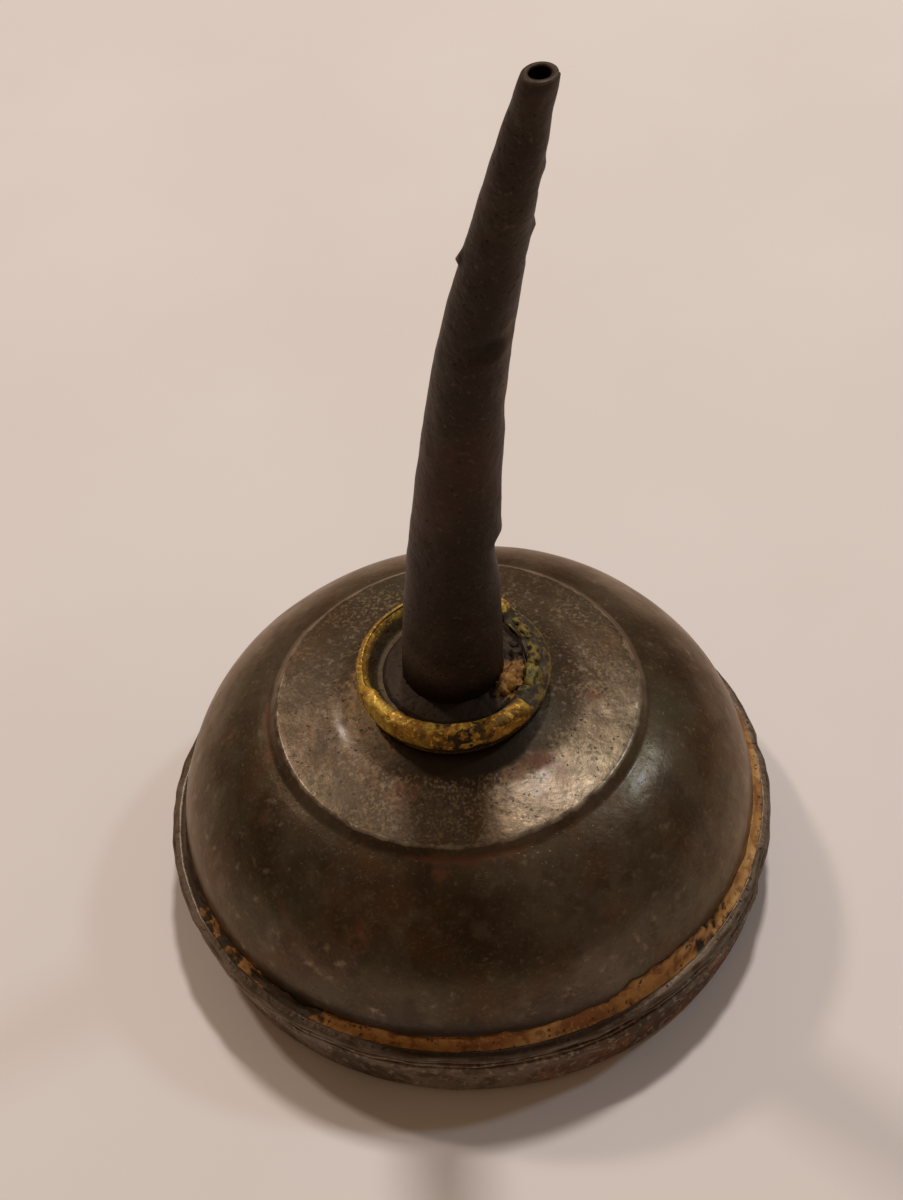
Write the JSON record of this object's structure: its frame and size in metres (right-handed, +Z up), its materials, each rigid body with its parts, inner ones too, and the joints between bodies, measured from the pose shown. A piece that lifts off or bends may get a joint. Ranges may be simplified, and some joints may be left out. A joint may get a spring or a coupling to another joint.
{
  "type": "push-bottom oil can",
  "caption": "Small round push-bottom oil can: stepped steel dome, folded rim seam, spring bottom and a bent tapered spout on a screwed brass collar.",
  "frame": {"origin": "on the floor under the can's axis, in the plane of the foot ring", "axes": "+Z up the can's axis; +X is the side that the spout leans towards"},
  "size_m": [0.065, 0.065, 0.1028],
  "materials": {
    "dome_steel": "dark oily tinned steel, aged and pitted",
    "pan_steel": "worn grey tin plate with rust patches",
    "old_solder": "ochre, rust-stained solder and sealing compound",
    "spring_steel": "thin tin-plated spring steel",
    "brass": "old yellow brass with green verdigris",
    "leather": "oil-soaked leather",
    "spout_steel": "brown-black rolled steel"
  },
  "bodies": {
    "can_body": {"dome_shell": "dome_steel", "bottom_pan": "pan_steel", "seam_solder": "old_solder", "spring_bottom": "spring_steel", "bottom_solder": "old_solder", "neck_bush": "brass", "bush_solder": "old_solder"},
    "press_button": {"thumb_disc": "pan_steel", "stiffener_disc": "spring_steel"},
    "washer": {"leather_washer": "leather"},
    "spout": {"spout_ferrule": "brass", "spout_tube": "spout_steel", "spout_solder": "old_solder"}
  },
  "joints": [
    {"name": "bottom_press", "type": "slide", "parent": "can_body", "child": "press_button", "axis": [0, 0, 1], "range_m": [0, 0.0024], "stiffness_N_per_m": 4000, "deforming": ["spring_bottom"]},
    {"name": "spout_lift", "type": "slide", "parent": "can_body", "child": "washer", "axis": [0, 0, 1], "range_m": [0, 0.0075]},
    {"name": "spout_turn", "type": "hinge", "parent": "washer", "child": "spout", "pos_m": [0, 0, 0.028], "axis": [0, 0, 1], "range_deg": [0, 1800]}
  ],
  "couplings": [
    {"joint": "spout_lift", "follows": "spout_turn", "m_per_rad": 0.00023873}
  ]
}
